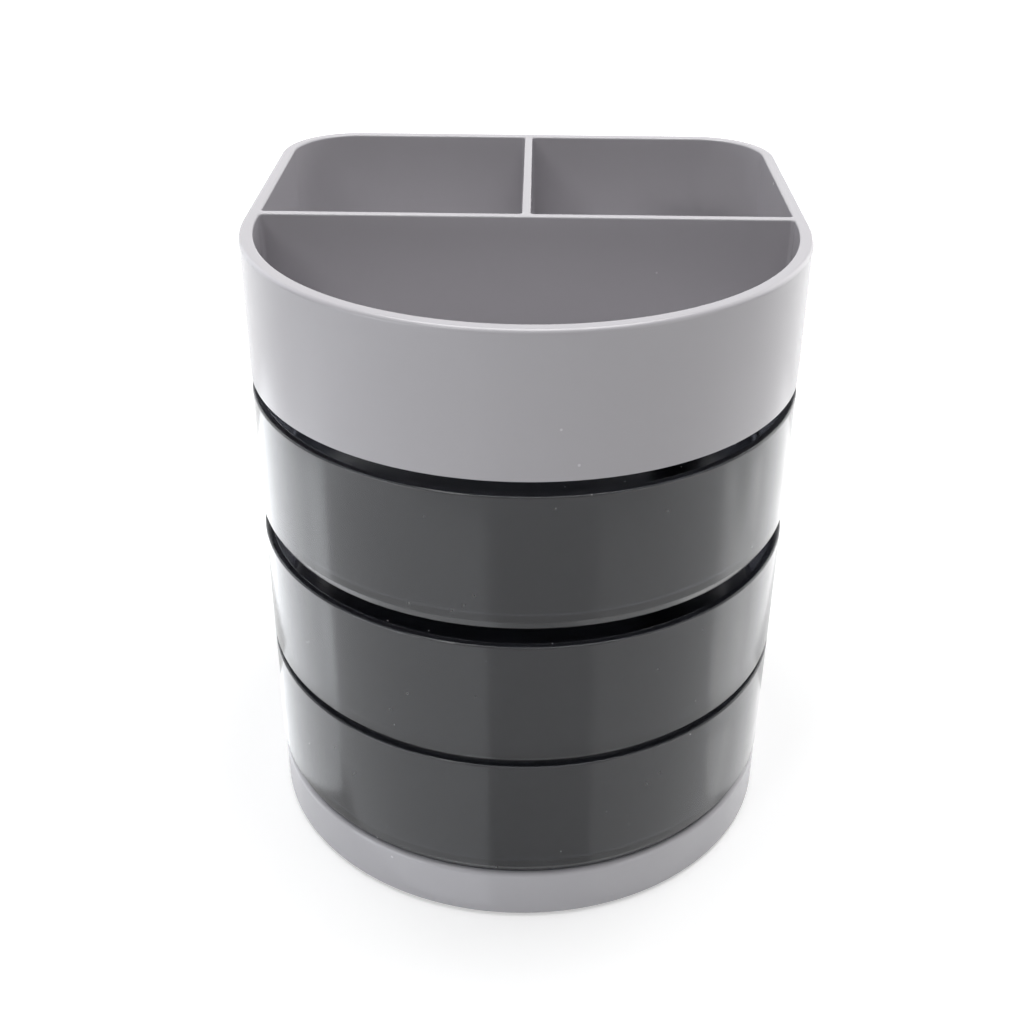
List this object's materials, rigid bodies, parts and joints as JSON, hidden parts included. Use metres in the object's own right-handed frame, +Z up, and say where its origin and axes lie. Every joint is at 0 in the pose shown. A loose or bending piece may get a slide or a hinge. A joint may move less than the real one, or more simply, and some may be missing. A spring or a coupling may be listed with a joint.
{
  "type": "pen holder",
  "caption": "Desk pen holder: a U-shaped cup with pen compartments on a corner post, over smoked trays that swing out round the post and a shallow hollow base.",
  "frame": {"origin": "middle of the footprint on the desk, under the feet", "axes": "+Z up, -Y towards the half-round front, +X to the right seen from the front"},
  "size_m": [0.13, 0.14, 0.1538],
  "materials": {
    "grey_plastic": "light grey, satin gloss",
    "smoked_plastic": "smoked, clear, polished",
    "steel": "turned, plain",
    "black_rubber": "matt",
    "dark_nylon": "matt"
  },
  "bodies": {
    "stand": {"base": "grey_plastic", "pivot_post": "steel", "pen_cup": "grey_plastic", "spacer_upper": "dark_nylon", "spacer_middle": "dark_nylon", "base_screw": "steel", "base_screw_washer": "steel", "cup_screw": "steel", "cup_screw_washer": "steel", "screw_cap": "grey_plastic", "foot_front_left": "black_rubber", "foot_front_right": "black_rubber", "foot_rear_left": "black_rubber", "foot_rear_right": "black_rubber"},
    "upper_tray": {"tray_upper": "smoked_plastic"},
    "middle_tray": {"tray_middle": "smoked_plastic"},
    "lower_tray": {"tray_lower": "smoked_plastic"}
  },
  "joints": [
    {"name": "tray_upper_swing", "type": "hinge", "parent": "stand", "child": "upper_tray", "pos_m": [0.0455, 0.0505, 0.101], "axis": [0, 0, 1], "continuous": true},
    {"name": "tray_middle_swing", "type": "hinge", "parent": "stand", "child": "middle_tray", "pos_m": [0.0455, 0.0505, 0.0638], "axis": [0, 0, 1], "continuous": true},
    {"name": "tray_lower_swing", "type": "hinge", "parent": "stand", "child": "lower_tray", "pos_m": [0.0455, 0.0505, 0.0306], "axis": [0, 0, 1], "continuous": true}
  ]
}
